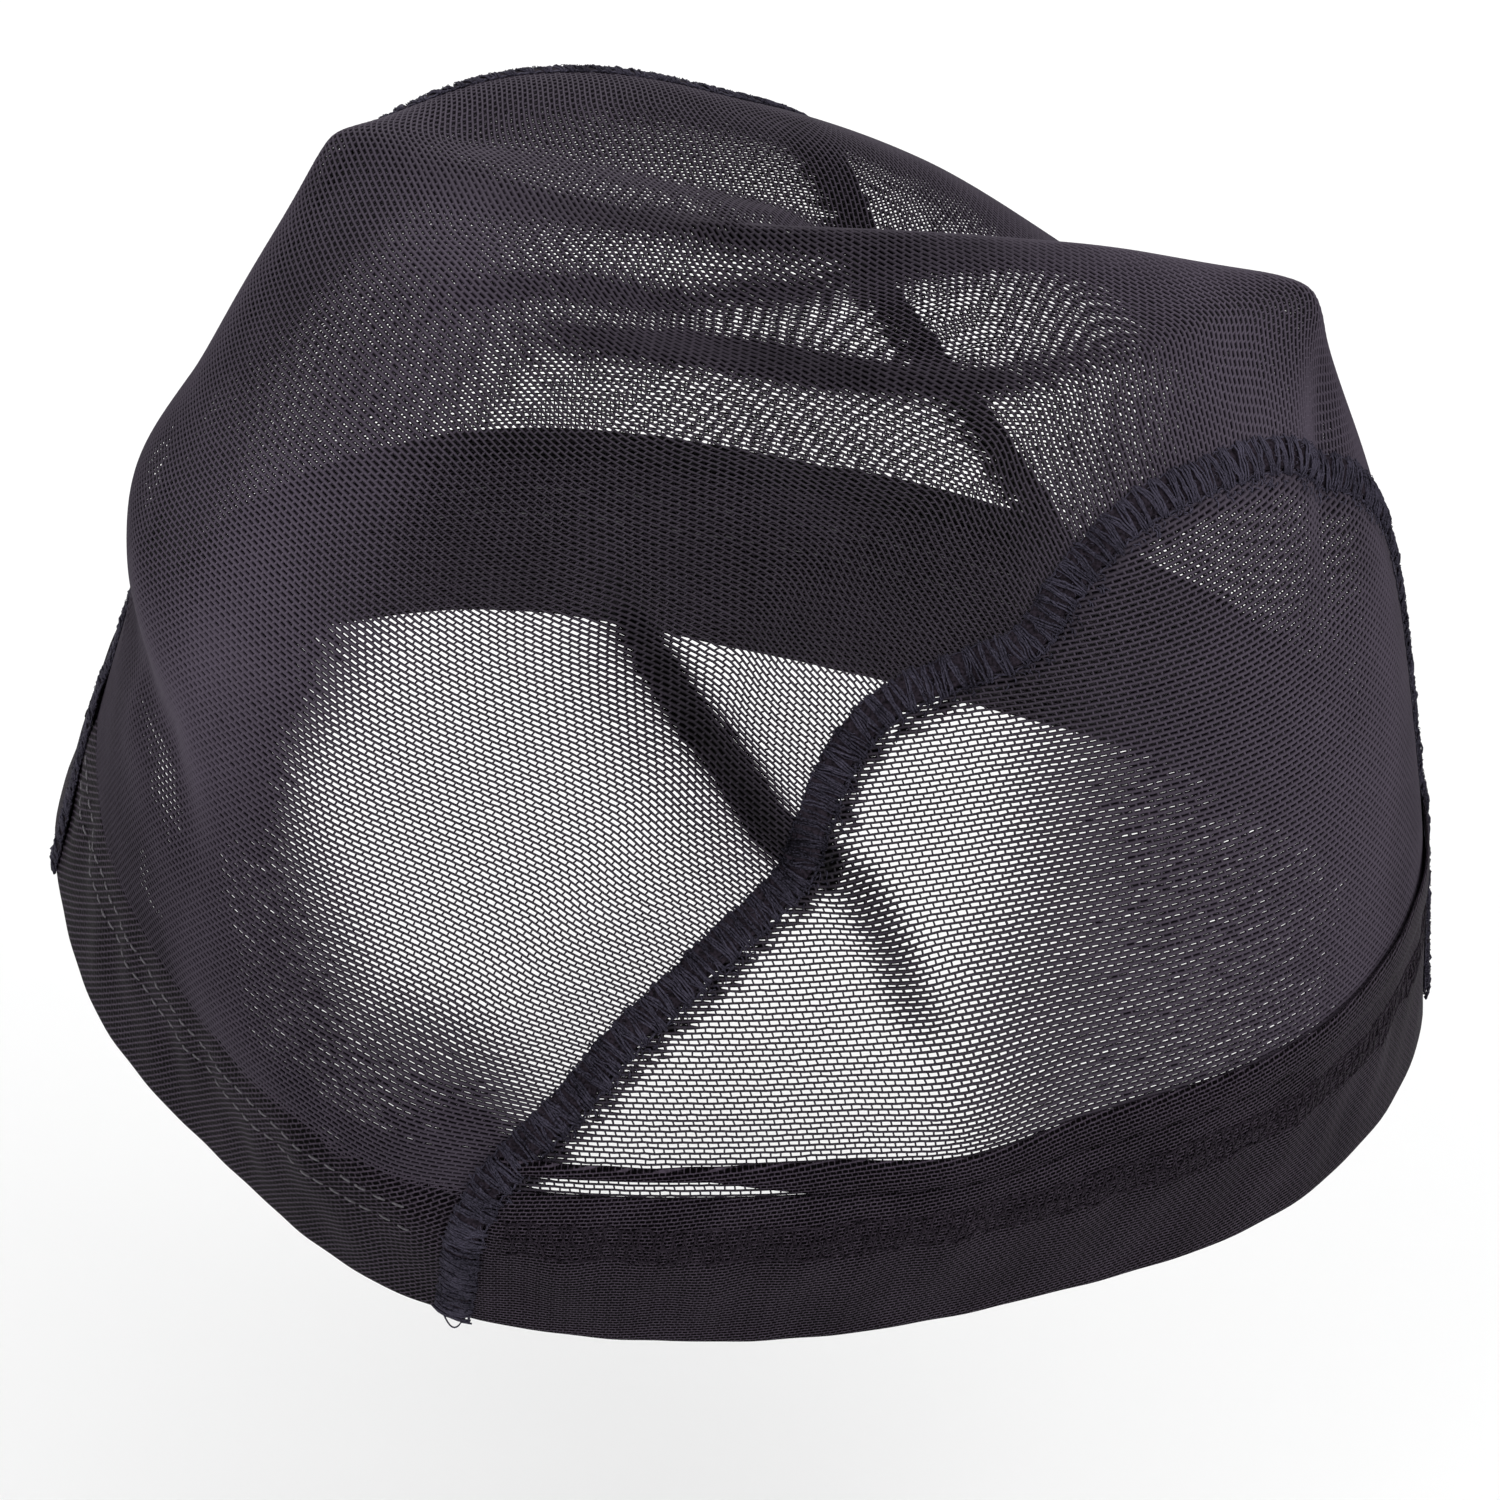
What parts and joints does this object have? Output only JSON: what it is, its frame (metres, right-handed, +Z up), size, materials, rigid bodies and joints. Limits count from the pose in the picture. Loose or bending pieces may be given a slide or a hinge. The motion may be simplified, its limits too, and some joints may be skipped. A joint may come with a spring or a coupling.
{
  "type": "mesh dome wig cap",
  "caption": "Dome-shaped stretch-net wig liner cap sewn from a crown strip and side panels, with wide doubled hems and overlocked seams, open below for a head.",
  "frame": {"origin": "centre of the head opening, at the level of the hem's lower edge", "axes": "+Z up to the crown along the way a head goes in, +X across the opening where it is widest, +Y completing the right-handed set"},
  "size_m": [0.2448, 0.2068, 0.1612],
  "materials": {
    "net": "black knitted stretch power net",
    "hem": "the same net folded double and stitched",
    "seam_thread": "black textured overlock thread"
  },
  "bodies": {
    "root": {"crown_panel": "net", "left_panel": "net", "right_panel": "net", "front_hem": "hem", "left_hem": "hem", "back_hem": "hem", "right_hem": "hem", "left_seam": "seam_thread", "right_seam": "seam_thread"}
  },
  "joints": []
}
